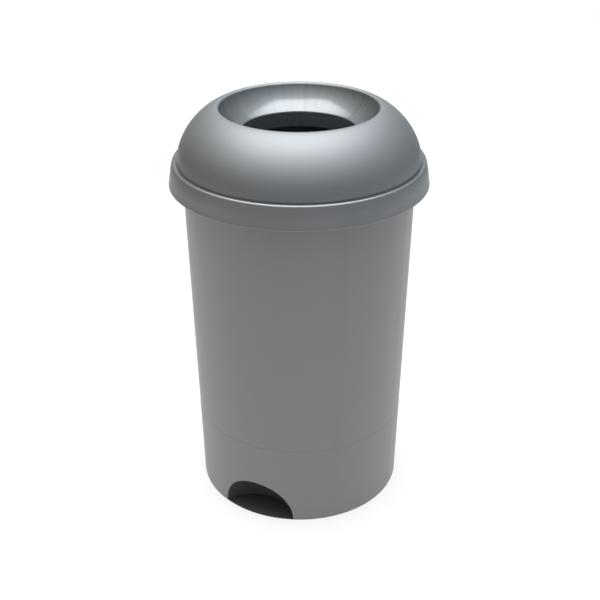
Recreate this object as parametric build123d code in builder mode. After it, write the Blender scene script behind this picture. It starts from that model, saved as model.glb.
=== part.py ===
"""Round open-topped waste bin: a drafted tub with a toe recess, and a lift-off domed lid with a funnel.

Millimetres, +Z up. The origin is the centre of the base, on the ground. The toe recess faces -Y.
"""

from build123d import *
from math import hypot
import os

# Tub wall and foot
base_radius = 166.3
mouth_radius = 179.1
tub_wall = 2.4
foot_rounding = 1.5

# Nesting shelf: below it the wall is thicker inwards, and the tub above in a stack stands on it
shelf_height = 138.0
shelf_width = 2.0
shelf_rounding = 0.8
band_proud = 0.25
band_slope_height = 0.8

# Floor, raised inside the foot ring and stiffened below by a hub ring and radial ribs
floor_top = 9.0
floor_thickness = 3.2
floor_corner = 10.0
rib_count = 12
rib_thickness = 2.0
rib_bottom = 1.5
hub_radius = 32.0

# Rim: a flat flange with a turned-down lip
rim_top = 563.6
rim_thickness = 2.6
rim_radius = 191.8
lip_bottom = 546.0
lip_thickness = 2.2
mouth_rounding = 4.0
rim_rounding = 1.5
rim_root_rounding = 3.0
lip_root_rounding = 1.0
lip_inner_rounding = 0.6
lip_outer_rounding = 0.9

# Toe recess: a dome bitten out of the foot
recess_centre = 184.5
recess_radius = 68.0
recess_height = 66.0
recess_rounding = 1.0
recess_tolerance = 0.001

# Lid skirt and ledge
lid_wall = 2.4
skirt_radius = 200.0
skirt_bottom = 530.2
skirt_waist_radius = 198.0
skirt_waist_height = 540.0
skirt_tilt = 18.0
skirt_handle = 12.0
ledge_edge_radius = 194.2
ledge_rounding = 3.0
crease_radius = 187.0

# Lid dome, crest, funnel and collar
dome_flank_radius = 181.6
dome_flank_height = 619.1
dome_shoulder_radius = 134.8
crest_radius = 123.8
crest_top = 647.4
crest_rounding = 4.5
funnel_start_slope = 70.0
funnel_start_handle = 15.0
funnel_end_slope = 27.0
funnel_end_handle = 14.0
hole_radius = 88.1
hole_top = 611.4
hole_rounding = 3.0
collar_bottom = 586.0
collar_bottom_radius = 89.0

os.makedirs("parts", exist_ok=True)

rim_underside = rim_top - rim_thickness
ledge_top = rim_top + lid_wall
floor_underside = floor_top - floor_thickness
wall_slope = (mouth_radius - base_radius) / rim_underside


def wall_radius(height):
    """Outside radius of the tub's wall at a height above the ground."""
    return base_radius + wall_slope * height


def inside_radius(height):
    """Inside radius of the tub's wall, which is thicker below the nesting shelf."""
    thickness = tub_wall if height >= shelf_height else tub_wall + shelf_width
    return wall_radius(height) - thickness


def recess_dome(growth):
    """The toe recess as half a dome on the ground, grown outwards by a wall thickness."""
    axis = Axis((0, -recess_centre, 0), (0, 0, 1))
    plane = Plane(origin=(0, -recess_centre, 0), x_dir=(1, 0, 0), z_dir=(0, -1, 0))
    width = recess_radius + growth
    height = recess_height + growth
    with BuildPart() as dome:
        with BuildSketch(plane):
            with BuildLine():
                EllipticalCenterArc((0, 0), width, height, start_angle=0, arc_size=90)
                Polyline((0, height), (0, 0), (width, 0))
            make_face()
        revolve(axis=axis)
    return dome.part


def on_recess(edge):
    """True where an edge lies on the surface of the toe recess."""
    for share in (0, 0.5, 1):
        point = edge @ share
        across = hypot(point.X, point.Y + recess_centre) / recess_radius
        if abs(hypot(across, point.Z / recess_height) - 1) > recess_tolerance:
            return False
    return True


def inside_curve(points):
    """A curve of the lid's outline moved to the inner face of its wall."""
    start, start_handle, end_handle, end = points
    inner_start = start + (start_handle - start).normalized().rotate(Axis.Z, 90) * lid_wall
    inner_end = end + (end - end_handle).normalized().rotate(Axis.Z, 90) * lid_wall
    scale = (inner_end - inner_start).length / (end - start).length
    inner_start_handle = inner_start + (start_handle - start) * scale
    inner_end_handle = inner_end + (end_handle - end) * scale
    return [inner_start, inner_start_handle, inner_end_handle, inner_end]


def lip_point(outer_end, inner_end):
    """The lowest point of the full rounding that closes the wall at a free edge."""
    middle = (outer_end + inner_end) / 2
    return middle - (outer_end - inner_end).rotate(Axis.Z, 90) / 2


recess_hollow = recess_dome(0)
recess_back = recess_dome(tub_wall)

# Cavity of the tub, with the back of the toe recess standing in it
with BuildPart() as cavity:
    with BuildSketch(Plane.XZ):
        with BuildLine():
            FilletPolyline(
                (0, floor_top),
                (inside_radius(floor_top), floor_top),
                (inside_radius(shelf_height) - shelf_width, shelf_height),
                (inside_radius(shelf_height), shelf_height),
                (inside_radius(rim_top), rim_top),
                (0, rim_top),
                radius=[0, floor_corner, shelf_rounding, shelf_rounding, 0, 0],
                close=True,
            )
        make_face()
    revolve(axis=Axis.Z)
    add(recess_back, mode=Mode.SUBTRACT)

# Hollow under the floor, with the hub ring, the ribs and the back of the toe recess standing in it
with BuildPart() as underside:
    with BuildSketch():
        Circle(inside_radius(0))
    extrude(amount=floor_underside)
    with BuildSketch(Plane.XY.offset(rib_bottom)):
        Circle(hub_radius)
        Circle(hub_radius - rib_thickness, mode=Mode.SUBTRACT)
        with PolarLocations(0, rib_count, start_angle=180 / rib_count):
            with Locations(((hub_radius + base_radius) / 2, 0)):
                Rectangle(base_radius - hub_radius + rib_thickness, rib_thickness)
    extrude(amount=floor_underside - rib_bottom, mode=Mode.SUBTRACT)
    add(recess_back, mode=Mode.SUBTRACT)

# Tub
with BuildPart() as tub:
    with BuildSketch(Plane.XZ):
        with BuildLine():
            FilletPolyline(
                (0, 0),
                (base_radius + band_proud, 0),
                (wall_radius(shelf_height) + band_proud, shelf_height - band_slope_height),
                (wall_radius(shelf_height), shelf_height),
                (mouth_radius, rim_underside),
                (rim_radius - lip_thickness, rim_underside),
                (rim_radius - lip_thickness, lip_bottom),
                (rim_radius, lip_bottom),
                (rim_radius, rim_top),
                (0, rim_top),
                radius=[
                    0,
                    foot_rounding,
                    0,
                    0,
                    rim_root_rounding,
                    lip_root_rounding,
                    lip_inner_rounding,
                    lip_outer_rounding,
                    rim_rounding,
                    0,
                ],
                close=True,
            )
        make_face()
    revolve(axis=Axis.Z)
    add(cavity.part, mode=Mode.SUBTRACT)
    add(underside.part, mode=Mode.SUBTRACT)
    add(recess_hollow, mode=Mode.SUBTRACT)
    fillet([edge for edge in edges() if on_recess(edge)], radius=recess_rounding)
    mouth = edges().filter_by(GeomType.CIRCLE).group_by(Axis.Z)[-1].sort_by(SortBy.RADIUS)[0]
    fillet(mouth, radius=mouth_rounding)
tub.part.label = "tub"
export_step(tub.part, "parts/tub.step")

# Outline of the lid, from the skirt over the dome into the hole: centres of its roundings and its curves
ledge_centre = Vector(ledge_edge_radius - ledge_rounding, ledge_top - ledge_rounding)
crest_centre = Vector(crest_radius, crest_top - crest_rounding)
hole_centre = Vector(hole_radius + hole_rounding, hole_top - hole_rounding)
crease = Vector(crease_radius, ledge_top)

skirt_end = ledge_centre + Vector(ledge_rounding, 0).rotate(Axis.Z, skirt_tilt)
skirt_curve = [
    Vector(skirt_radius, skirt_bottom + lid_wall / 2),
    Vector(skirt_waist_radius, skirt_waist_height),
    skirt_end + Vector(0, -skirt_handle).rotate(Axis.Z, skirt_tilt),
    skirt_end,
]
dome_curve = [
    crease,
    Vector(dome_flank_radius, dome_flank_height),
    Vector(dome_shoulder_radius, crest_top),
    Vector(crest_radius, crest_top),
]
funnel_start = crest_centre + Vector(0, crest_rounding).rotate(Axis.Z, funnel_start_slope)
funnel_end = hole_centre + Vector(0, hole_rounding).rotate(Axis.Z, funnel_end_slope)
funnel_curve = [
    funnel_start,
    funnel_start + Vector(-funnel_start_handle, 0).rotate(Axis.Z, funnel_start_slope),
    funnel_end + Vector(funnel_end_handle, 0).rotate(Axis.Z, funnel_end_slope),
    funnel_end,
]
collar_curve = [Vector(hole_radius, hole_centre.Y), Vector(collar_bottom_radius, collar_bottom)]

# Lid: one thickness of wall everywhere, rounded at its two free edges
with BuildPart() as lid:
    with BuildSketch(Plane.XZ):
        with BuildLine():
            Bezier(*skirt_curve)
            CenterArc(ledge_centre, ledge_rounding, skirt_tilt, 90 - skirt_tilt)
            Line(ledge_centre + Vector(0, ledge_rounding), crease)
            Bezier(*dome_curve)
            CenterArc(crest_centre, crest_rounding, 90, funnel_start_slope)
            Bezier(*funnel_curve)
            CenterArc(hole_centre, hole_rounding, 90 + funnel_end_slope, 90 - funnel_end_slope)
            Line(*collar_curve)
            inner_skirt = Bezier(*inside_curve(skirt_curve))
            CenterArc(ledge_centre, ledge_rounding - lid_wall, skirt_tilt, 90 - skirt_tilt)
            Line(ledge_centre + Vector(0, ledge_rounding - lid_wall), crease - Vector(0, lid_wall))
            inner_dome = Bezier(*inside_curve(dome_curve))
            ThreePointArc(
                crease - Vector(0, lid_wall),
                crease - Vector(0, lid_wall).rotate(Axis.Z, -45),
                inner_dome @ 0,
            )
            CenterArc(crest_centre, crest_rounding - lid_wall, 90, funnel_start_slope)
            Bezier(*inside_curve(funnel_curve))
            CenterArc(
                hole_centre, hole_rounding - lid_wall, 90 + funnel_end_slope, 90 - funnel_end_slope
            )
            collar_back = Vector(lid_wall, 0)
            Line(hole_centre - Vector(hole_rounding, 0) + collar_back, collar_curve[1] + collar_back)
            ThreePointArc(
                skirt_curve[0],
                lip_point(skirt_curve[0], inner_skirt @ 0),
                inner_skirt @ 0,
            )
            ThreePointArc(
                collar_curve[1],
                lip_point(collar_curve[1] + collar_back, collar_curve[1]),
                collar_curve[1] + collar_back,
            )
        make_face()
    revolve(axis=Axis.Z)
lid.part.label = "lid"
export_step(lid.part, "parts/lid.step")
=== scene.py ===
"""Round waste bin in silver-grey plastic: its lid turned from an outline, its finishes and its studio.

Metres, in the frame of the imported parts: +Z up, origin under the middle of the foot, toe recess at -Y.
"""

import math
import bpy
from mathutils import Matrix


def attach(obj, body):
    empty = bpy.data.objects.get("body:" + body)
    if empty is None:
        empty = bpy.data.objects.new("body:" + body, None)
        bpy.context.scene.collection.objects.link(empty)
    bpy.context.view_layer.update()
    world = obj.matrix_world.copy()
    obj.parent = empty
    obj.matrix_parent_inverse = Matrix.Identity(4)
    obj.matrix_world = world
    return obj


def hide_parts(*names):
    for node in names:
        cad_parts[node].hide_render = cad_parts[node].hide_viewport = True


bl_info = {
    "name": "Round Waste Bin",
    "version": (1, 0, 0),
    "blender": (4, 5, 0),
    "location": "3D View > Sidebar > Waste Bin",
    "description": "Turns the lid of a round waste bin, finishes lid and tub, and sets a plain studio",
    "category": "Object",
}

import bpy
from bpy.props import FloatProperty, FloatVectorProperty, IntProperty, PointerProperty
from bpy.types import NodeSocket, Operator, Panel, PropertyGroup
from mathutils import Euler, Matrix

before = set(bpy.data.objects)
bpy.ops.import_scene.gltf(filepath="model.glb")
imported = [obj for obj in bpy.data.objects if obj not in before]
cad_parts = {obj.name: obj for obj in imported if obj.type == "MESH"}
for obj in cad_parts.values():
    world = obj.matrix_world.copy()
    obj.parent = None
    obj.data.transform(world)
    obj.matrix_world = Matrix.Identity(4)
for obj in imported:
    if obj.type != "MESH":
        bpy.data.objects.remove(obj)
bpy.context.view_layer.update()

FULL_TURN = math.tau
HALF_TURN = math.pi
QUARTER_TURN = math.pi / 2
WHITE = (1.0, 1.0, 1.0)
SENSOR_WIDTH = 36.0

# The kind of socket for each kind of number that a property holds
NUMBER_SOCKETS = {"FLOAT": "NodeSocketFloat", "INT": "NodeSocketInt"}

# Places of a Mix node's sockets when it mixes colours: share, two colours and result
MIX_INPUTS = (0, 6, 7)
MIX_RESULT = 2

# A noise texture swings round this value
NOISE_MIDDLE = 0.5

# Added to a place on the unit grid that is turned, this gives a share from 0 to 1
HALF_GRID = 0.5

# Points on each curve of the lid's outline, and rings of faces along each stretch of it
CURVE_POINTS = 160
SKIRT_RINGS = 26
LEDGE_ROUNDING_RINGS = 9
LEDGE_RINGS = 4
DOME_RINGS = 56
CORNER_RINGS = 6
CREST_RINGS = 12
FUNNEL_RINGS = 40
HOLE_ROUNDING_RINGS = 9
COLLAR_RINGS = 10
LIP_RINGS = 8

# Points nearer than this are one point, and an edge bent more than this looks sharp
MERGE_DISTANCE = 2e-6
SHARP_BEND = math.radians(50.0)


def length(name, description, default):
    """A property that holds a length in metres."""
    return FloatProperty(
        name=name, description=description, default=default, min=0.0, precision=4, subtype="DISTANCE"
    )


def angle(name, description, degrees):
    """A property that holds an angle, written here in degrees."""
    return FloatProperty(
        name=name, description=description, default=math.radians(degrees), subtype="ANGLE"
    )


def factor(name, description, default):
    """A property that holds a share from 0 to 1."""
    return FloatProperty(
        name=name, description=description, default=default, min=0.0, max=1.0, subtype="FACTOR"
    )


def slope(name, description, default):
    """A property that holds a slope or another plain number."""
    return FloatProperty(name=name, description=description, default=default)


def level(name, description, default):
    """A property that holds a brightness, where 1 is white."""
    return FloatProperty(name=name, description=description, default=default, min=0.0)


def colour(name, description, default):
    """A property that holds a colour, in linear light."""
    return FloatVectorProperty(
        name=name, description=description, default=default, size=3, min=0.0, max=1.0, subtype="COLOR"
    )


class LidSizes(PropertyGroup):
    """The outline of the lid, as radii and heights of the outside of its wall."""

    wall: length("Wall", "Thickness of the lid's wall", 0.0024)
    skirt_radius: length("Skirt Radius", "Radius of the skirt's flared free edge", 0.2)
    skirt_bottom: length("Skirt Bottom", "Height of the skirt's free edge", 0.5302)
    waist_radius: length("Waist Radius", "Radius at which the skirt's flare straightens", 0.198)
    waist_height: length("Waist Height", "Height at which the skirt's flare straightens", 0.54)
    skirt_tilt: angle("Skirt Tilt", "Lean of the top of the skirt towards the axis", 18.0)
    skirt_handle: length("Skirt Handle", "Reach of that lean down the skirt", 0.012)
    ledge_height: length("Ledge Height", "Height of the flat ledge between skirt and dome", 0.566)
    ledge_edge_radius: length("Ledge Edge Radius", "Outer radius of the ledge", 0.1942)
    ledge_rounding: length("Ledge Rounding", "Radius of the rounding between skirt and ledge", 0.003)
    crease_radius: length("Crease Radius", "Radius of the crease between ledge and dome", 0.187)
    flank_radius: length("Flank Radius", "Radius that the flank of the dome heads for", 0.1816)
    flank_height: length("Flank Height", "Height that the flank of the dome heads for", 0.6191)
    shoulder_radius: length("Shoulder Radius", "Radius that the top of the dome heads for", 0.1348)
    crest_radius: length("Crest Radius", "Radius of the top of the dome", 0.1238)
    crest_height: length("Crest Height", "Height of the top of the dome", 0.6474)
    crest_rounding: length("Crest Rounding", "Radius of the rounding between dome and funnel", 0.0045)
    funnel_start_slope: angle("Funnel Start Slope", "Steepness of the funnel at the crest", 70.0)
    funnel_start_handle: length("Funnel Start Handle", "Reach of that steepness", 0.015)
    funnel_end_slope: angle("Funnel End Slope", "Steepness of the funnel at the hole", 27.0)
    funnel_end_handle: length("Funnel End Handle", "Reach of that steepness", 0.014)
    hole_radius: length("Hole Radius", "Radius of the hole", 0.0881)
    hole_height: length("Hole Height", "Height of the edge of the hole", 0.6114)
    hole_rounding: length("Hole Rounding", "Radius of the rounding at the edge of the hole", 0.003)
    collar_radius: length("Collar Radius", "Radius of the collar's free edge", 0.089)
    collar_bottom: length("Collar Bottom", "Height of the collar's free edge", 0.586)
    waviness: length("Waviness", "Depth of the slight unevenness that cooling leaves", 0.00012)
    waviness_size: length("Waviness Size", "Distance from one shallow hollow to the next", 0.055)
    seed: IntProperty(name="Seed", description="Picks one pattern of unevenness", default=7, min=0)
    sides: IntProperty(name="Sides", description="Faces in a full turn", default=256, min=12)


class PlasticFinish(PropertyGroup):
    """The colours and surface of the silver-grey plastic."""

    tub_colour: colour("Tub Colour", "Silver-grey of the tub", (0.2248, 0.2262, 0.2328))
    # The lid's silver-grey with a painted blue tint that stands for the light from above on the dome
    lid_colour: colour("Lid Grey And Top Light", "Silver-grey of the lid above its skirt", (0.2575, 0.268, 0.2825))
    skirt_colour: colour("Skirt Colour", "Silver-grey of the lid's skirt", (0.2668, 0.27, 0.283))
    # The collar's silver-grey with a painted blue tint that stands for the light on the collar
    collar_grey_and_blue_light: colour("Collar Grey And Blue Light", "Silver-grey of the collar, a trace blue", (0.232, 0.27, 0.302))
    polish_tone: factor("Polish Tone", "Brightness of the polished funnel, as a share of the satin", 0.82)
    polish_tint: colour("Polish Tint", "Tint of polished plastic, a trace blue", (0.98, 0.997, 1.0))
    pigment: factor("Pigment", "Share of aluminium pigment in the plastic", 0.7)
    satin: factor("Satin Roughness", "Roughness of the finely grained faces", 0.46)
    gloss: factor("Gloss Roughness", "Roughness of the polished funnel", 0.1)
    ledge_gloss: factor("Ledge Gloss", "How far the ledge is polished towards that gloss", 0.8)
    tub_sheen: factor("Tub Sheen", "Strength of the clear skin that brightens the tub's edges", 0.35)
    fleck_size: length("Fleck Size", "Distance between places where a fleck of aluminium may lie", 0.0004)
    fleck_share: factor("Fleck Share", "Share of those places that have one", 0.09)
    fleck_glint: factor("Fleck Glint", "How much brighter a fleck is than the plastic", 0.35)
    grain_size: length("Grain Size", "Distance between the pits of the moulded grain", 0.0006)
    grain_depth: length("Grain Depth", "Depth of those pits", 0.00003)
    scuff_colour: colour("Scuff Colour", "Pale grey of a scuff", (0.34, 0.34, 0.345))
    # These three paint shade: a darker colour in the crease under the dome, where shade falls
    crease_shade: factor("Crease Shade", "Strength of the grime in the crease under the dome", 0.5)
    shade_reach: length("Shade Reach", "Distance from the crease at which it has faded", 0.0026)
    shade_colour: colour("Shade Colour", "Dark grey of that grime", (0.05, 0.054, 0.06))
    streaks: factor("Streaks", "Strength of the streaks that run down the polished funnel", 0.35)
    streak_angle: angle("Streak Angle", "Place round the axis where those streaks are strongest", 38.0)
    weld_angle: angle("Weld Angle", "Place round the axis of the line where the plastic met", 110.0)
    weld_width: length("Weld Width", "Distance from its middle at which that line has faded", 0.0016)
    weld_strength: factor("Weld Strength", "Strength of that line", 0.13)
    weld_colour: colour("Weld Colour", "Dark grey of that line", (0.09, 0.093, 0.098))


class StudioSettings(PropertyGroup):
    """The camera, the floor, and the light tent with its softbox, backdrop and fill light."""

    camera_azimuth: angle("Camera Azimuth", "Camera's place round the bin, from -Y towards +X", 25.4)
    camera_reach: length("Camera Reach", "Distance from the axis to the camera, along the floor", 1.5252)
    camera_height: length("Camera Height", "Height of the camera", 1.1234)
    camera_pitch: angle("Camera Pitch", "How far the camera looks down", 27.8)
    camera_turn: angle("Camera Turn", "How far the camera looks to the right of the axis", 0.033)
    camera_roll: angle("Camera Roll", "Turn of the camera about its line of sight", -0.126)
    lens: FloatProperty(name="Lens", description="Focal length, in mm", default=63.25, unit="CAMERA")
    softbox_left: slope("Softbox Left", "Left edge of the softbox, across per unit up", -0.627)
    softbox_right: slope("Softbox Right", "Right edge of the softbox, across per unit up", 0.542)
    softbox_front: slope("Softbox Front", "Front edge of the softbox, back per unit up", -0.337)
    softbox_middle: slope("Softbox Middle", "Where its front corners start, back per unit up", 0.15)
    softbox_spread: slope("Softbox Spread", "How fast the softbox widens towards the back", 0.25)
    softbox_corner: slope("Softbox Corner", "Power that rounds its outline, where 2 is an ellipse", 3.0)
    softbox_core: slope("Softbox Core", "Where it starts to fade, its outline being at 1", 0.4)
    softbox_edge: slope("Softbox Edge", "Where it has faded, its outline being at 1", 1.9)
    softbox_fade: slope("Softbox Fade", "Where it starts to fade to the back, back per unit up", 0.1)
    softbox_back: slope("Softbox Back", "Where it has faded to the back, back per unit up", 1.3)
    softbox_brightness: level("Softbox Brightness", "What the softbox adds, where 1 is white", 2.26)
    glow_start: slope("Glow Start", "Where the glow round it starts to fade, likewise", 1.2)
    glow_end: slope("Glow End", "Where the glow has faded, likewise", 5.8)
    glow_brightness: level("Glow Brightness", "Brightness of that glow, where 1 is white", 0.36)
    tent_top: level("Tent Top", "Brightness of the light tent overhead, where 1 is white", 2.12)
    tent_foot: level("Tent Foot", "Brightness of the light tent at the floor", 0.085)
    tent_falloff: slope("Tent Falloff", "Power by which the tent darkens towards the floor", 2.0)
    tent_left_tint: colour("Tent Left Tint", "Colour of its left, a trace warm", (1.0, 0.987, 0.945))
    tent_right_tint: colour("Tent Right Tint", "Colour of its right, a trace blue", (0.9, 0.967, 1.0))
    tint_left_end: slope("Tint Left End", "Where the left tint is full, -1 being straight left", -0.8)
    tint_right_end: slope("Tint Right End", "Where the right tint is full, 1 being straight right", 0.6)
    rear_brightness: level("Rear Brightness", "What the back of the tent adds to its brightness", 0.23)
    backdrop_brightness: level("Backdrop Brightness", "Brightness of the lit backdrop", 0.35)
    backdrop_spread: slope("Backdrop Spread", "Power that narrows the backdrop's light", 6.0)
    fill_tint: colour("Fill Tint", "Colour of the weak light low on the right", (0.7, 0.93, 1.0))
    fill_brightness: level("Fill Brightness", "Brightness of that light, where 1 is white", 0.25)
    fill_spread: slope("Fill Spread", "Power that narrows that light", 2.0)
    floor_size: length("Floor Size", "Length of one side of the floor", 4.4)
    floor_colour: colour("Floor Colour", "Pale grey of the floor", (0.34, 0.34, 0.34))
    floor_lift: factor("Floor Lift", "Brightness added to the floor that camera and gloss see", 0.47)
    contact_lift: factor("Contact Lift", "Brightness added to that near the foot", 0.12)
    contact_reach: length("Contact Reach", "Distance from the axis at which that has faded", 0.5)
    # These two paint shadow: a dark disc of floor under the foot, seen in the toe recess
    foot_shade_colour: colour("Foot Shade Colour", "Dark grey of the mat under the foot", (0.05, 0.0507, 0.055))
    foot_shade_radius: length("Foot Shade Radius", "Radius of that mat", 0.1655)


def numbers(group):
    """The properties of a group that hold numbers or colours."""
    return [prop for prop in group.bl_rna.properties if prop.type in NUMBER_SOCKETS]


class Builder:
    """Adds nodes to a tree, each with its settings and inputs in one call."""

    def __init__(self, tree):
        self.tree = tree
        self.given = {}

    def feed(self, socket, value):
        """Links a socket to another one, or sets its value. A colour is given as three numbers."""
        if isinstance(value, NodeSocket):
            self.tree.links.new(value, socket)
        elif socket.type == "RGBA":
            socket.default_value = (*value, 1.0)
        else:
            socket.default_value = value

    def add(self, kind, inputs=None, **settings):
        """A new node with its settings, and with its inputs fed by name."""
        node = self.tree.nodes.new(kind)
        for name, value in settings.items():
            setattr(node, name, value)
        for name, value in (inputs or {}).items():
            self.feed(node.inputs[name], value)
        return node

    def row(self, kind, values, places=None, **settings):
        """A new node whose inputs are fed in turn, from the first on or at the places given."""
        node = self.add(kind, **settings)
        for place, value in zip(places or range(len(values)), values):
            self.feed(node.inputs[place], value)
        return node

    def math(self, operation, *values, clamp=False):
        """The result of a Math node."""
        node = self.row("ShaderNodeMath", values, operation=operation, use_clamp=clamp)
        return node.outputs[0]

    def vector(self, operation, *values):
        """The result of a Vector Math node that gives a vector."""
        return self.row("ShaderNodeVectorMath", values, operation=operation).outputs[0]

    def scaled(self, vector, scale):
        """A vector times a number."""
        node = self.row("ShaderNodeVectorMath", (vector, scale), (0, "Scale"), operation="SCALE")
        return node.outputs[0]

    def dot(self, first, second):
        """The dot product of two vectors."""
        node = self.row("ShaderNodeVectorMath", (first, second), operation="DOT_PRODUCT")
        return node.outputs["Value"]

    def distance(self, vector):
        """The length of a vector."""
        return self.row("ShaderNodeVectorMath", [vector], operation="LENGTH").outputs["Value"]

    def xyz(self, x, y, z):
        """A vector from three numbers."""
        return self.add("ShaderNodeCombineXYZ", {"X": x, "Y": y, "Z": z}).outputs[0]

    def parts(self, vector):
        """The three numbers of a vector."""
        return self.add("ShaderNodeSeparateXYZ", {"Vector": vector}).outputs

    def ramp(self, value, low, high, to_low=0.0, to_high=1.0):
        """A value carried smoothly from one range to another."""
        ends = (low, high, to_low, to_high)
        node = self.row("ShaderNodeMapRange", (value, *ends), interpolation_type="SMOOTHSTEP")
        return node.outputs[0]

    def mixed(self, share, first, second):
        """A colour between two colours."""
        node = self.row("ShaderNodeMix", (share, first, second), MIX_INPUTS, data_type="RGBA")
        return node.outputs[MIX_RESULT]


def new_group(name, kind, inputs, outputs):
    """A node group with its named sockets, and the builder that fills it."""
    tree = bpy.data.node_groups.new(name, kind)
    for socket_name, socket_type, default in inputs:
        socket = tree.interface.new_socket(name=socket_name, in_out="INPUT", socket_type=socket_type)
        if default is not None:
            socket.default_value = default
    for socket_name, socket_type in outputs:
        tree.interface.new_socket(name=socket_name, in_out="OUTPUT", socket_type=socket_type)
    build = Builder(tree)
    build.given = build.add("NodeGroupInput").outputs
    return build


def turned_sheet():
    """A Geometry Nodes group that turns a line of points, given as a field, round the Z axis."""
    build = new_group(
        "Turned Sheet",
        "GeometryNodeTree",
        [
            ("Point", "NodeSocketVector", None),
            ("Gloss", "NodeSocketFloat", None),
            ("Hidden", "NodeSocketBool", None),
            ("Rings", "NodeSocketInt", None),
            ("Sides", "NodeSocketInt", None),
        ],
        [("Mesh", "NodeSocketGeometry")],
    )
    given = build.given
    sides = build.math("ADD", given["Sides"], 1)
    rings = build.math("ADD", given["Rings"], 1)
    unit_grid = {"Size X": 1.0, "Size Y": 1.0, "Vertices X": sides, "Vertices Y": rings}
    mesh = build.add("GeometryNodeMeshGrid", unit_grid).outputs["Mesh"]
    place = build.parts(build.add("GeometryNodeInputPosition").outputs[0])
    turn = build.math("MULTIPLY", build.math("ADD", place["X"], HALF_GRID), FULL_TURN)
    point = build.parts(given["Point"])
    turned = build.xyz(
        build.math("MULTIPLY", point["X"], build.math("COSINE", turn)),
        build.math("MULTIPLY", point["X"], build.math("SINE", turn)),
        point["Z"],
    )
    for name, value in (("gloss", given["Gloss"]), ("hidden", given["Hidden"])):
        stored = {"Geometry": mesh, "Name": name, "Value": value}
        mesh = build.add("GeometryNodeStoreNamedAttribute", stored).outputs[0]
    mesh = build.add("GeometryNodeSetPosition", {"Geometry": mesh, "Position": turned}).outputs[0]
    mesh = build.add("GeometryNodeFlipFaces", {"Mesh": mesh, "Selection": given["Hidden"]}).outputs[0]
    build.add("NodeGroupOutput", {"Mesh": mesh})
    return build.tree


class LidOutline:
    """Draws the lid's outline in nodes, and turns each stretch of it on both sides of the wall."""

    def __init__(self, build, sheet):
        self.build = build
        self.sheet = sheet
        self.size = build.given
        self.meshes = []
        place = build.parts(build.add("GeometryNodeInputPosition").outputs[0])
        self.along = build.math("ADD", place["Y"], HALF_GRID)

    def point(self, radius, height):
        """A point of the outline."""
        return self.build.xyz(radius, 0.0, height)

    def polar(self, start, reach, turn):
        """The point at a distance and an angle from another, in the plane of the outline."""
        build = self.build
        way = build.xyz(build.math("COSINE", turn), 0.0, build.math("SINE", turn))
        return build.vector("ADD", start, build.scaled(way, reach))

    def heading(self, start, end):
        """The angle of the line from one point to another, in the plane of the outline."""
        build = self.build
        way = build.parts(build.vector("SUBTRACT", end, start))
        return build.math("ARCTAN2", way["Z"], way["X"])

    def turn(self, point, rings, gloss=0.0, hidden=False):
        """Turns one stretch, given as a field of points."""
        inputs = {"Point": point, "Rings": rings, "Gloss": gloss, "Hidden": hidden}
        inputs["Sides"] = self.size["Sides"]
        node = self.build.add("GeometryNodeGroup", inputs, node_tree=self.sheet)
        self.meshes.append(node.outputs["Mesh"])

    def curve(self, start, start_handle, end_handle, end, rings, gloss=0.0):
        """A curved stretch on both sides of the wall."""
        build = self.build
        ends = {"Start": start, "Start Handle": start_handle, "End Handle": end_handle, "End": end}
        ends["Resolution"] = CURVE_POINTS
        segment = build.add("GeometryNodeCurvePrimitiveBezierSegment", ends, mode="POSITION")
        reading = {"Curves": segment.outputs[0], "Factor": self.along}
        sample = build.add("GeometryNodeSampleCurve", reading, mode="FACTOR")
        way = build.parts(sample.outputs["Tangent"])
        left = build.xyz(build.math("MULTIPLY", way["Z"], -1.0), 0.0, way["X"])
        inner = build.vector("ADD", sample.outputs["Position"], build.scaled(left, self.size["Wall"]))
        self.turn(sample.outputs["Position"], rings, gloss)
        self.turn(inner, rings, hidden=True)

    def arc_points(self, centre, radius, start_turn, sweep):
        """A field of points along an arc."""
        turn = self.build.math("MULTIPLY_ADD", sweep, self.along, start_turn)
        return self.polar(centre, radius, turn)

    def arc(self, centre, radius, start_turn, sweep, rings, gloss=0.0):
        """A rounding on both sides of the wall."""
        inner_radius = self.build.math("SUBTRACT", radius, self.size["Wall"])
        self.turn(self.arc_points(centre, radius, start_turn, sweep), rings, gloss)
        self.turn(self.arc_points(centre, inner_radius, start_turn, sweep), rings, hidden=True)

    def lip(self, end, heading, side):
        """The full rounding at a free edge: side is -1 at the outline's end and 1 at its start."""
        build = self.build
        half = build.math("MULTIPLY", self.size["Wall"], 0.5)
        centre = self.polar(end, half, build.math("ADD", heading, QUARTER_TURN))
        start_turn = build.math("ADD", heading, side * QUARTER_TURN)
        self.turn(self.arc_points(centre, half, start_turn, HALF_TURN), LIP_RINGS)


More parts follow.
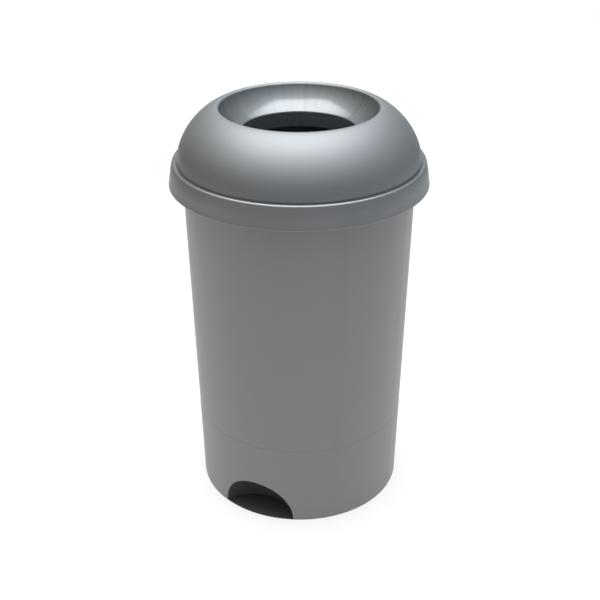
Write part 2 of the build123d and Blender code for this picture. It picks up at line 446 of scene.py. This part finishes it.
def lid_tree(sizes, ledge_gloss, material):
    """The Geometry Nodes tree of the lid. Its inputs are the properties of LidSizes, by name."""
    inputs = [(prop.name, NUMBER_SOCKETS[prop.type], prop.default) for prop in numbers(sizes)]
    build = new_group("Turned Lid", "GeometryNodeTree", inputs, [("Mesh", "NodeSocketGeometry")])
    size = build.given
    line = LidOutline(build, turned_sheet())

    # Shares of a stretch between which its polish comes in or is dulled, and the collar's dulled gloss
    ledge_polish = (0.05, 0.5)
    crest_polish = (0.35, 1.0)
    collar_dulling = (0.0, 0.25)
    collar_gloss = 0.5

    def less(first, second):
        return build.math("SUBTRACT", size[first], size[second])

    ledge_centre_height = less("Ledge Height", "Ledge Rounding")
    ledge_centre = line.point(less("Ledge Edge Radius", "Ledge Rounding"), ledge_centre_height)
    crest_centre = line.point(size["Crest Radius"], less("Crest Height", "Crest Rounding"))
    hole_centre_radius = build.math("ADD", size["Hole Radius"], size["Hole Rounding"])
    hole_centre = line.point(hole_centre_radius, less("Hole Height", "Hole Rounding"))
    half_wall = build.math("MULTIPLY", size["Wall"], 0.5)

    # Skirt, up to the rounding under the ledge
    skirt_start = line.point(size["Skirt Radius"], build.math("ADD", size["Skirt Bottom"], half_wall))
    waist = line.point(size["Waist Radius"], size["Waist Height"])
    skirt_end = line.polar(ledge_centre, size["Ledge Rounding"], size["Skirt Tilt"])
    down_the_skirt = build.math("SUBTRACT", size["Skirt Tilt"], QUARTER_TURN)
    skirt_handle = line.polar(skirt_end, size["Skirt Handle"], down_the_skirt)
    line.curve(skirt_start, waist, skirt_handle, skirt_end, SKIRT_RINGS)
    line.lip(skirt_start, line.heading(skirt_start, waist), side=1)

    # Ledge and its rounding, up to the crease
    sweep = build.math("SUBTRACT", QUARTER_TURN, size["Skirt Tilt"])
    polish = build.ramp(line.along, *ledge_polish, 0.0, ledge_gloss)
    rounding = size["Ledge Rounding"]
    line.arc(ledge_centre, rounding, size["Skirt Tilt"], sweep, LEDGE_ROUNDING_RINGS, polish)
    ledge_start = line.polar(ledge_centre, rounding, QUARTER_TURN)
    crease = line.point(size["Crease Radius"], size["Ledge Height"])
    ledge_middle = build.scaled(build.vector("ADD", ledge_start, crease), 0.5)
    line.curve(ledge_start, ledge_middle, ledge_middle, crease, LEDGE_RINGS, ledge_gloss)

    # Dome, from the crease to the crest, with the inner corner behind the crease
    flank = line.point(size["Flank Radius"], size["Flank Height"])
    shoulder = line.point(size["Shoulder Radius"], size["Crest Height"])
    dome_end = line.point(size["Crest Radius"], size["Crest Height"])
    line.curve(crease, flank, shoulder, dome_end, DOME_RINGS)
    corner_sweep = build.math("SUBTRACT", line.heading(crease, flank), HALF_TURN)
    corner = line.arc_points(crease, size["Wall"], HALF_TURN + QUARTER_TURN, corner_sweep)
    line.turn(corner, CORNER_RINGS, hidden=True)

    # Crest, funnel and the rounding at the hole, polished from the crest inwards
    polish = build.ramp(line.along, *crest_polish)
    start_slope = size["Funnel Start Slope"]
    line.arc(crest_centre, size["Crest Rounding"], QUARTER_TURN, start_slope, CREST_RINGS, polish)
    start_turn = build.math("ADD", start_slope, QUARTER_TURN)
    funnel_start = line.polar(crest_centre, size["Crest Rounding"], start_turn)
    down_the_funnel = build.math("ADD", start_slope, HALF_TURN)
    funnel_start_handle = line.polar(funnel_start, size["Funnel Start Handle"], down_the_funnel)
    end_turn = build.math("ADD", size["Funnel End Slope"], QUARTER_TURN)
    funnel_end = line.polar(hole_centre, size["Hole Rounding"], end_turn)
    funnel_end_handle = line.polar(funnel_end, size["Funnel End Handle"], size["Funnel End Slope"])
    line.curve(funnel_start, funnel_start_handle, funnel_end_handle, funnel_end, FUNNEL_RINGS, gloss=1.0)
    hole_sweep = build.math("SUBTRACT", QUARTER_TURN, size["Funnel End Slope"])
    line.arc(hole_centre, size["Hole Rounding"], end_turn, hole_sweep, HOLE_ROUNDING_RINGS, gloss=1.0)

    # Collar, down to its free edge, with handles a third of its height long
    collar_start = line.polar(hole_centre, size["Hole Rounding"], HALF_TURN)
    collar_end = line.point(size["Collar Radius"], size["Collar Bottom"])
    third = build.math("MULTIPLY", less("Hole Height", "Collar Bottom"), 1 / 3)
    collar_start_handle = line.polar(collar_start, third, -QUARTER_TURN)
    collar_end_handle = line.polar(collar_end, third, line.heading(collar_end, collar_start))
    dulled = build.ramp(line.along, *collar_dulling, 1.0, collar_gloss)
    line.curve(collar_start, collar_start_handle, collar_end_handle, collar_end, COLLAR_RINGS, dulled)
    line.lip(collar_end, line.heading(collar_end_handle, collar_end), side=-1)

    # One closed shell, slightly uneven as a cooled moulding is, with both faces of the wall moved alike
    join = build.add("GeometryNodeJoinGeometry")
    for mesh in line.meshes:
        build.feed(join.inputs[0], mesh)
    merging = {"Geometry": join.outputs[0], "Distance": MERGE_DISTANCE}
    shell = build.add("GeometryNodeMergeByDistance", merging)
    hidden = build.add("GeometryNodeInputNamedAttribute", {"Name": "hidden"}).outputs["Attribute"]
    side = build.math("MULTIPLY_ADD", hidden, -2.0, 1.0)
    noise = build.add(
        "ShaderNodeTexNoise",
        {"W": size["Seed"], "Scale": build.math("DIVIDE", 1.0, size["Waviness Size"]), "Detail": 1.0},
        noise_dimensions="4D",
    )
    swell = build.math("SUBTRACT", noise.outputs[0], NOISE_MIDDLE)
    swell = build.math("MULTIPLY", swell, size["Waviness"])
    normal = build.add("GeometryNodeInputNormal").outputs[0]
    offset = build.scaled(normal, build.math("MULTIPLY", swell, side))
    wavy = build.add("GeometryNodeSetPosition", {"Geometry": shell.outputs[0], "Offset": offset})

    # Smooth faces with a sharp crease
    smooth = build.add("GeometryNodeSetShadeSmooth", {"Geometry": wavy.outputs[0], "Shade Smooth": True})
    bend = build.add("GeometryNodeInputMeshEdgeAngle").outputs["Unsigned Angle"]
    sharp = build.math("GREATER_THAN", bend, SHARP_BEND)
    creasing = {"Geometry": smooth.outputs[0], "Selection": sharp, "Shade Smooth": False}
    creased = build.add("GeometryNodeSetShadeSmooth", creasing, domain="EDGE")
    real = build.add("GeometryNodeRealizeInstances", {"Geometry": creased.outputs[0]})
    finished = build.add("GeometryNodeSetMaterial", {"Geometry": real.outputs[0], "Material": material})
    build.add("NodeGroupOutput", {"Mesh": finished.outputs[0]})
    return build.tree


def baked(name, tree, values):
    """An object with the mesh that a Geometry Nodes tree makes from named values."""
    made = bpy.data.objects.new(name, bpy.data.meshes.new(name))
    bpy.context.scene.collection.objects.link(made)
    modifier = made.modifiers.new(tree.name, "NODES")
    modifier.node_group = tree
    for socket in tree.interface.items_tree:
        if socket.in_out == "INPUT" and socket.name in values:
            modifier[socket.identifier] = values[socket.name]
    graph = bpy.context.evaluated_depsgraph_get()
    shown = made.evaluated_get(graph)
    mesh = bpy.data.meshes.new_from_object(shown, preserve_all_data_layers=True, depsgraph=graph)
    made.modifiers.remove(modifier)
    made.data = mesh
    mesh.name = name
    return made


def moulded_grain():
    """A shader group that gives the height of the fine grain of a spark-eroded mould."""
    pit_fineness = 1.7
    pit_depth = 0.6
    build = new_group(
        "Moulded Grain",
        "ShaderNodeTree",
        [("Vector", "NodeSocketVector", None), ("Size", "NodeSocketFloat", 0.0006)],
        [("Height", "NodeSocketFloat")],
    )
    place = build.given["Vector"]
    scale = build.math("DIVIDE", 1.0, build.given["Size"])
    coarse = build.add("ShaderNodeTexNoise", {"Vector": place, "Scale": scale, "Detail": 2.0})
    fine = {"Vector": place, "Scale": build.math("MULTIPLY", scale, pit_fineness)}
    pits = build.add("ShaderNodeTexVoronoi", fine, feature="SMOOTH_F1")
    height = build.math("MULTIPLY_ADD", pits.outputs["Distance"], pit_depth, coarse.outputs[0])
    build.add("NodeGroupOutput", {"Height": height})
    return build.tree


def pigment_flow():
    """A shader group that gives the slow drift of tone that flowing pigment leaves, around 0."""
    build = new_group(
        "Pigment Flow",
        "ShaderNodeTree",
        [
            ("Vector", "NodeSocketVector", None),
            ("Size", "NodeSocketFloat", 0.05),
            ("Stretch", "NodeSocketFloat", 0.3),
        ],
        [("Tone", "NodeSocketFloat")],
    )
    given = build.given
    drawn = build.vector("MULTIPLY", given["Vector"], build.xyz(1.0, 1.0, given["Stretch"]))
    scale = build.math("DIVIDE", 1.0, given["Size"])
    swirl = {"Vector": drawn, "Scale": scale, "Detail": 3.0, "Distortion": 0.6}
    slow = build.add("ShaderNodeTexNoise", swirl)
    build.add("NodeGroupOutput", {"Tone": build.math("SUBTRACT", slow.outputs[0], NOISE_MIDDLE)})
    return build.tree


def metal_fleck():
    """A shader group that picks out a few tiny flecks of aluminium."""
    fleck_edge = (0.25, 0.45)
    build = new_group(
        "Metal Fleck",
        "ShaderNodeTree",
        [
            ("Vector", "NodeSocketVector", None),
            ("Size", "NodeSocketFloat", 0.0004),
            ("Share", "NodeSocketFloat", 0.08),
        ],
        [("Fleck", "NodeSocketFloat")],
    )
    given = build.given
    scale = build.math("DIVIDE", 1.0, given["Size"])
    cells = build.add("ShaderNodeTexVoronoi", {"Vector": given["Vector"], "Scale": scale})
    picked = build.math("LESS_THAN", build.parts(cells.outputs["Color"])["X"], given["Share"])
    core = build.ramp(cells.outputs["Distance"], *fleck_edge, 1.0, 0.0)
    build.add("NodeGroupOutput", {"Fleck": build.math("MULTIPLY", picked, core)})
    return build.tree


def fine_scuffs():
    """A shader group that gives a mask of hair-fine scuffs round one height."""
    lean = (0.5, 0.3, 0.2)
    squeeze = (1.0, 1.0, 9.0)
    hairs_per_metre = 45.0
    hair_width = 0.035
    patches_per_metre = 22.0
    patch_edge = (0.56, 0.68)
    build = new_group(
        "Fine Scuffs",
        "ShaderNodeTree",
        [
            ("Vector", "NodeSocketVector", None),
            ("Height", "NodeSocketFloat", 0.0),
            ("Reach", "NodeSocketFloat", 0.03),
        ],
        [("Scuff", "NodeSocketFloat")],
    )
    given = build.given
    place = given["Vector"]
    leaning = build.add("ShaderNodeMapping", {"Vector": place, "Rotation": lean, "Scale": squeeze})
    drawn = {"Vector": leaning.outputs[0], "Scale": hairs_per_metre, "Randomness": 1.0}
    hairs = build.add("ShaderNodeTexVoronoi", drawn, feature="DISTANCE_TO_EDGE")
    thin = build.ramp(hairs.outputs["Distance"], 0.0, hair_width, 1.0, 0.0)
    blotchy = {"Vector": place, "Scale": patches_per_metre, "Detail": 2.0}
    patches = build.add("ShaderNodeTexNoise", blotchy)
    some = build.ramp(patches.outputs[0], *patch_edge)
    above = build.math("SUBTRACT", build.parts(place)["Z"], given["Height"])
    away = build.math("ABSOLUTE", above)
    near = build.ramp(away, 0.0, given["Reach"], 1.0, 0.0)
    scuff = build.math("MULTIPLY", build.math("MULTIPLY", thin, some), near)
    build.add("NodeGroupOutput", {"Scuff": scuff})
    return build.tree


def shared_group(maker, name):
    """A shader group that is built the first time a material asks for it."""
    return bpy.data.node_groups.get(name) or maker()


class Plastic:
    """A material in the making: silver-grey plastic with its flow, flecks, grain and scuffs."""

    def __init__(self, name, finish, flow, scuffs):
        self.finish = finish
        self.material = bpy.data.materials.new(name)
        self.material.use_nodes = True
        self.build = Builder(self.material.node_tree)
        self.shader = self.material.node_tree.nodes["Principled BSDF"]
        self.place = self.build.add("ShaderNodeTexCoord").outputs["Object"]
        flecks = {"Size": finish.fleck_size, "Share": finish.fleck_share}
        self.flow = self.group(pigment_flow, "Pigment Flow", flow)
        self.fleck = self.group(metal_fleck, "Metal Fleck", flecks)
        self.grain = self.group(moulded_grain, "Moulded Grain", {"Size": finish.grain_size})
        self.scuff = self.group(fine_scuffs, "Fine Scuffs", scuffs)

    def group(self, maker, name, inputs):
        """The output of a shared group that reads the Object coordinates."""
        inputs = {"Vector": self.place, **inputs}
        node = self.build.add("ShaderNodeGroup", inputs, node_tree=shared_group(maker, name))
        return node.outputs[0]

    def tinted(self, base, flow_tone):
        """The base colour, varied with the pigment's flow and brighter on each fleck."""
        build = self.build
        shade = build.math("MULTIPLY_ADD", self.flow, flow_tone, 1.0)
        lit = build.math("MULTIPLY_ADD", self.fleck, self.finish.fleck_glint, shade)
        return build.scaled(base, lit)

    def finished(self, base, roughness, height, scuff_strength):
        """The material, once its shader has its scuffed colour, roughness, pigment and grain."""
        build = self.build
        sockets = self.shader.inputs
        scuffed = build.math("MULTIPLY", self.scuff, scuff_strength)
        relief = {"Strength": 1.0, "Distance": self.finish.grain_depth, "Height": height}
        build.feed(sockets["Base Color"], build.mixed(scuffed, base, self.finish.scuff_colour))
        build.feed(sockets["Roughness"], roughness)
        build.feed(sockets["Metallic"], self.finish.pigment)
        build.feed(sockets["Normal"], build.add("ShaderNodeBump", relief).outputs[0])
        return self.material


def tub_plastic(finish):
    """Satin plastic of the tub under a thin clear skin, scuffed round its foot."""
    flow_tone = 0.10
    flow_roughness = 0.12
    scuff_roughness = 0.12
    flow = {"Size": 0.045, "Stretch": 0.18}
    scuffs = {"Height": 0.004, "Reach": 0.05}
    made = Plastic("tub_silver_plastic", finish, flow, scuffs)
    build = made.build
    rough = build.math("MULTIPLY_ADD", made.flow, flow_roughness, finish.satin)
    rough = build.math("MULTIPLY_ADD", made.scuff, scuff_roughness, rough)
    build.feed(made.shader.inputs["Coat Weight"], finish.tub_sheen)
    build.feed(made.shader.inputs["Coat Roughness"], finish.satin)
    base = made.tinted(tuple(finish.tub_colour), flow_tone)
    return made.finished(base, rough, made.grain, scuff_strength=0.35)


def funnel_streaks(build, outwards, finish):
    """Streaks down the funnel: a soft drift all the way round, and a few sharp lines at one place."""
    drift_scale = 14.0
    line_scale = 34.0
    line_edge = (0.54, 0.66)
    facing_edge = (0.93, 0.995)
    soft = {"Vector": outwards, "Scale": drift_scale, "Detail": 5.0, "Roughness": 0.7}
    drift = build.math("SUBTRACT", build.add("ShaderNodeTexNoise", soft).outputs[0], NOISE_MIDDLE)
    lines = build.add("ShaderNodeTexNoise", {"Vector": outwards, "Scale": line_scale, "Detail": 1.0})
    middle = (math.cos(finish.streak_angle), math.sin(finish.streak_angle), 0.0)
    marked = build.ramp(build.dot(outwards, middle), *facing_edge)
    marks = build.math("MULTIPLY", build.ramp(lines.outputs[0], *line_edge), marked)
    return build.math("ADD", drift, marks)


def lid_plastic(finish, sizes):
    """Satin plastic of the lid, polished on its ledge and in its funnel."""
    flow_tone = 0.08
    flow_roughness = 0.06
    streak_roughness = 0.08
    flow = {"Size": 0.06, "Stretch": 0.6}
    scuffs = {"Height": 0.535, "Reach": 0.03}
    made = Plastic("lid_silver_plastic", finish, flow, scuffs)
    build = made.build
    gloss = build.add("ShaderNodeAttribute", attribute_name="gloss").outputs["Fac"]
    place = build.parts(made.place)
    flat = build.xyz(place["X"], place["Y"], 0.0)
    radius = build.distance(flat)

    # Satin plastic: the skirt's own tone below the ledge, and above it the lid's tone with a painted blue
    # tint of the light from above
    skirt_start = 0.001
    below_ledge = build.math("SUBTRACT", sizes.ledge_height, place["Z"])
    on_skirt = build.ramp(below_ledge, skirt_start, sizes.ledge_rounding)
    on_skirt = build.math("MULTIPLY", on_skirt, build.math("GREATER_THAN", radius, sizes.crease_radius))
    satin = made.tinted(build.mixed(on_skirt, finish.lid_colour, finish.skirt_colour), flow_tone)

    # Polished plastic, streaked and a little darker in the funnel
    funnel = build.math("MULTIPLY", gloss, build.math("LESS_THAN", radius, sizes.crest_radius))
    outwards = build.vector("NORMALIZE", flat)
    streak = build.math("MULTIPLY", funnel_streaks(build, outwards, finish), funnel)
    polished = build.ramp(funnel, 0.0, 1.0, 1.0, finish.polish_tone)
    streaked = build.scaled(satin, build.math("MULTIPLY_ADD", streak, finish.streaks, polished))
    base = build.vector("MULTIPLY", streaked, build.mixed(gloss, WHITE, finish.polish_tint))

    # Collar, whose gloss is dulled to a half, so its mask is doubled, with a painted blue tint that stands
    # for the light on the collar
    collar_edge = (0.002, 0.006)
    below_edge = build.math("SUBTRACT", sizes.hole_height, place["Z"])
    collar = build.math("MULTIPLY", build.ramp(below_edge, *collar_edge), funnel)
    collar = build.math("MULTIPLY", collar, 2.0, clamp=True)
    base = build.mixed(collar, base, finish.collar_grey_and_blue_light)

    # Painted shade in the crease under the dome: the colour darkens towards the crease, where shade falls
    shade_core = 0.0003
    across = build.math("SUBTRACT", radius, sizes.crease_radius)
    above = build.math("SUBTRACT", place["Z"], sizes.ledge_height)
    from_crease = build.distance(build.xyz(across, above, 0.0))
    painted_shade = build.ramp(from_crease, shade_core, finish.shade_reach, finish.crease_shade, 0.0)
    base = build.mixed(painted_shade, base, finish.shade_colour)

    # Weld line down the funnel, fading on the collar
    weld_core = 0.0003
    fade_on_collar = 0.7
    around = build.math("ARCTAN2", place["Y"], place["X"])
    from_weld = build.math("ABSOLUTE", build.math("SUBTRACT", around, finish.weld_angle))
    from_weld = build.math("MULTIPLY", from_weld, radius)
    weld = build.ramp(from_weld, weld_core, finish.weld_width, finish.weld_strength, 0.0)
    weld = build.math("MULTIPLY", weld, funnel)
    weld = build.math("MULTIPLY", weld, build.math("MULTIPLY_ADD", collar, -fade_on_collar, 1.0))
    base = build.mixed(weld, base, finish.weld_colour)

    # Gloss and grain, which the polish takes away
    polish_full = 0.8
    grain_left = 0.04
    rough = build.ramp(gloss, 0.0, 1.0, finish.satin, finish.gloss)
    rough = build.math("MULTIPLY_ADD", streak, streak_roughness, rough)
    rough = build.math("MULTIPLY_ADD", made.flow, flow_roughness, rough)
    height = build.math("MULTIPLY", made.grain, build.ramp(gloss, 0.0, polish_full, 1.0, grain_left))
    return made.finished(base, rough, height, scuff_strength=0.3)


class WASTEBIN_OT_finish_tub(Operator):
    """Give the tub its satin silver-grey plastic"""

    bl_idname = "wastebin.finish_tub"
    bl_label = "Finish Tub"
    bl_options = {"REGISTER", "UNDO"}

    def execute(self, context):
        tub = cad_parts["tub"]
        plastic = tub_plastic(context.scene.bin_finish)
        for slot in tub.material_slots:
            slot.material = plastic
        return {"FINISHED"}


class WASTEBIN_OT_turn_lid(Operator):
    """Turn the lid from its outline and give it its plastic"""

    bl_idname = "wastebin.turn_lid"
    bl_label = "Turn Lid"
    bl_options = {"REGISTER", "UNDO"}

    def execute(self, context):
        sizes = context.scene.bin_lid
        finish = context.scene.bin_finish
        tree = lid_tree(sizes, finish.ledge_gloss, lid_plastic(finish, sizes))
        values = {prop.name: getattr(sizes, prop.identifier) for prop in numbers(sizes)}
        lid = baked("domed_lid", tree, values)
        if not lid.data.polygons:
            raise RuntimeError("the lid's tree made no faces")
        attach(lid, "lid")
        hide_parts("lid")
        return {"FINISHED"}


def floor_material(studio):
    """Pale floor, white to the camera away from the bin, which keeps the bin's shadow, with a painted
    shadow under the foot and painted light near it.
    """
    material = bpy.data.materials.new("studio_floor")
    material.use_nodes = True
    build = Builder(material.node_tree)
    sockets = material.node_tree.nodes["Principled BSDF"].inputs
    away = build.distance(build.add("ShaderNodeTexCoord").outputs["Object"])
    open_floor = build.math("GREATER_THAN", away, studio.foot_shade_radius)
    ray = build.add("ShaderNodeLightPath").outputs
    seen = build.math("MAXIMUM", ray["Is Camera Ray"], ray["Is Glossy Ray"])
    seen = build.math("MAXIMUM", seen, ray["Is Transmission Ray"])
    # Painted light: more brightness near the foot, which lightens the bin's shadow there
    near_lift = studio.floor_lift + studio.contact_lift
    lift = build.ramp(away, studio.foot_shade_radius, studio.contact_reach, near_lift, studio.floor_lift)
    lift = build.math("MULTIPLY", build.math("MULTIPLY", seen, open_floor), lift)
    # Painted shadow: the floor is dark grey under the foot, where the toe recess shades it
    build.feed(sockets["Base Color"], build.mixed(open_floor, studio.foot_shade_colour, studio.floor_colour))
    build.feed(sockets["Roughness"], 1.0)
    build.feed(sockets["Specular IOR Level"], 0.0)
    build.feed(sockets["Emission Color"], WHITE)
    build.feed(sockets["Emission Strength"], lift)
    return material


def softbox_light(build, studio, rightwards, backwards, up):
    """Brightness that the softbox overhead and the glow round it add in one direction."""
    back = build.math("DIVIDE", backwards, up)
    widening = build.math("MULTIPLY_ADD", build.math("MAXIMUM", back, 0.0), studio.softbox_spread, 1.0)
    across = build.math("DIVIDE", rightwards, build.math("MULTIPLY", up, widening))
    middle = (studio.softbox_left + studio.softbox_right) / 2
    half_width = (studio.softbox_right - studio.softbox_left) / 2
    sideways = build.math("DIVIDE", build.math("SUBTRACT", across, middle), half_width)
    depth = studio.softbox_middle - studio.softbox_front
    forwards = build.math("DIVIDE", build.math("SUBTRACT", studio.softbox_middle, back), depth)
    wide = build.math("POWER", build.math("ABSOLUTE", sideways), studio.softbox_corner)
    deep = build.math("POWER", build.math("MAXIMUM", forwards, 0.0), studio.softbox_corner)
    outline = build.math("ADD", wide, deep)
    inside = build.ramp(outline, studio.softbox_core, studio.softbox_edge, studio.softbox_brightness, 0.0)
    glow = build.ramp(outline, studio.glow_start, studio.glow_end, studio.glow_brightness, 0.0)
    faded = build.ramp(back, studio.softbox_fade, studio.softbox_back, 1.0, 0.0)
    return build.math("MULTIPLY", build.math("ADD", inside, glow), faded)


def tent_light(build, studio, rightwards, backwards, up):
    """Colour of the light tent and its lit backdrop in one direction."""
    tent = build.math("POWER", up, studio.tent_falloff)
    tent = build.math("MULTIPLY_ADD", tent, studio.tent_top - studio.tent_foot, studio.tent_foot)
    rear = build.math("MAXIMUM", backwards, 0.0)
    tent = build.math("MULTIPLY_ADD", build.math("MULTIPLY", rear, up), studio.rear_brightness, tent)
    behind = build.math("POWER", rear, studio.backdrop_spread)
    tent = build.math("MULTIPLY_ADD", behind, studio.backdrop_brightness, tent)
    side = build.ramp(rightwards, studio.tint_left_end, studio.tint_right_end)
    return build.scaled(build.mixed(side, studio.tent_left_tint, studio.tent_right_tint), tent)


def fill_light(build, studio, rightwards, up):
    """Colour of the weak fill light in one direction, strongest low on the right."""
    from_right = build.math("MAXIMUM", rightwards, 0.0)
    low = build.math("MULTIPLY", from_right, build.math("SUBTRACT", 1.0, up))
    fill = build.math("MULTIPLY", build.math("POWER", low, studio.fill_spread), studio.fill_brightness)
    return build.scaled(tuple(studio.fill_tint), fill)


class WASTEBIN_OT_set_stage(Operator):
    """Lay the floor, place the camera and light the tent"""

    bl_idname = "wastebin.set_stage"
    bl_label = "Set Stage"
    bl_options = {"REGISTER", "UNDO"}

    def execute(self, context):
        studio = context.scene.bin_studio
        half = studio.floor_size / 2
        mesh = bpy.data.meshes.new("floor")
        corners = [(-half, -half, 0), (half, -half, 0), (half, half, 0), (-half, half, 0)]
        mesh.from_pydata(corners, [], [(0, 1, 2, 3)])
        floor = bpy.data.objects.new("floor", mesh)
        mesh.materials.append(floor_material(studio))
        context.scene.collection.objects.link(floor)
        self.camera(context, studio)
        self.world(context, studio)
        context.scene.view_settings.view_transform = "Standard"
        return {"FINISHED"}

    def camera(self, context, studio):
        """The camera at the height, distance and slant of the photograph."""
        data = bpy.data.cameras.new("camera")
        data.sensor_width = SENSOR_WIDTH
        data.lens = studio.lens
        camera = bpy.data.objects.new("camera", data)
        context.scene.collection.objects.link(camera)
        azimuth = studio.camera_azimuth
        camera.location = (
            studio.camera_reach * math.sin(azimuth),
            -studio.camera_reach * math.cos(azimuth),
            studio.camera_height,
        )
        aim = Euler((QUARTER_TURN - studio.camera_pitch, 0.0, azimuth - studio.camera_turn)).to_matrix()
        camera.rotation_euler = (aim @ Matrix.Rotation(studio.camera_roll, 3, "Z")).to_euler()
        context.scene.camera = camera

    def world(self, context, studio):
        """The light tent, the softbox in its top and the fill light, all white to the camera."""
        horizon = 0.001
        world = bpy.data.worlds.new("studio")
        context.scene.world = world
        world.use_nodes = True
        build = Builder(world.node_tree)
        background = world.node_tree.nodes["Background"]
        way = build.add("ShaderNodeTexCoord").outputs["Generated"]
        turn = studio.camera_azimuth
        up = build.math("MAXIMUM", build.parts(way)["Z"], horizon)
        rightwards = build.dot(way, (math.cos(turn), math.sin(turn), 0.0))
        backwards = build.dot(way, (-math.sin(turn), math.cos(turn), 0.0))
        box = softbox_light(build, studio, rightwards, backwards, up)
        tent = tent_light(build, studio, rightwards, backwards, up)
        light = build.vector("ADD", build.xyz(box, box, box), tent)
        light = build.vector("ADD", light, fill_light(build, studio, rightwards, up))
        seen = build.add("ShaderNodeLightPath").outputs["Is Camera Ray"]
        build.feed(background.inputs["Color"], build.mixed(seen, light, WHITE))
        build.feed(background.inputs["Strength"], 1.0)


class WASTEBIN_PT_sidebar(Panel):
    """The bin's sizes, finish and studio, with the operators that make them"""

    bl_idname = "WASTEBIN_PT_sidebar"
    bl_label = "Waste Bin"
    bl_space_type = "VIEW_3D"
    bl_region_type = "UI"
    bl_category = "Waste Bin"

    def draw(self, context):
        for group, operator in (
            (context.scene.bin_lid, "wastebin.turn_lid"),
            (context.scene.bin_finish, "wastebin.finish_tub"),
            (context.scene.bin_studio, "wastebin.set_stage"),
        ):
            box = self.layout.box()
            for prop in numbers(group):
                box.prop(group, prop.identifier)
            box.operator(operator)


CLASSES = (
    LidSizes,
    PlasticFinish,
    StudioSettings,
    WASTEBIN_OT_finish_tub,
    WASTEBIN_OT_turn_lid,
    WASTEBIN_OT_set_stage,
    WASTEBIN_PT_sidebar,
)


def register():
    """Adds the classes, and their settings on the scene."""
    for item in CLASSES:
        bpy.utils.register_class(item)
    bpy.types.Scene.bin_lid = PointerProperty(type=LidSizes)
    bpy.types.Scene.bin_finish = PointerProperty(type=PlasticFinish)
    bpy.types.Scene.bin_studio = PointerProperty(type=StudioSettings)


def unregister():
    """Takes both away again."""
    del bpy.types.Scene.bin_lid
    del bpy.types.Scene.bin_finish
    del bpy.types.Scene.bin_studio
    for item in reversed(CLASSES):
        bpy.utils.unregister_class(item)


def main():
    register()
    bpy.ops.wastebin.finish_tub()
    bpy.ops.wastebin.turn_lid()
    bpy.ops.wastebin.set_stage()


if __name__ == "__main__":
    main()
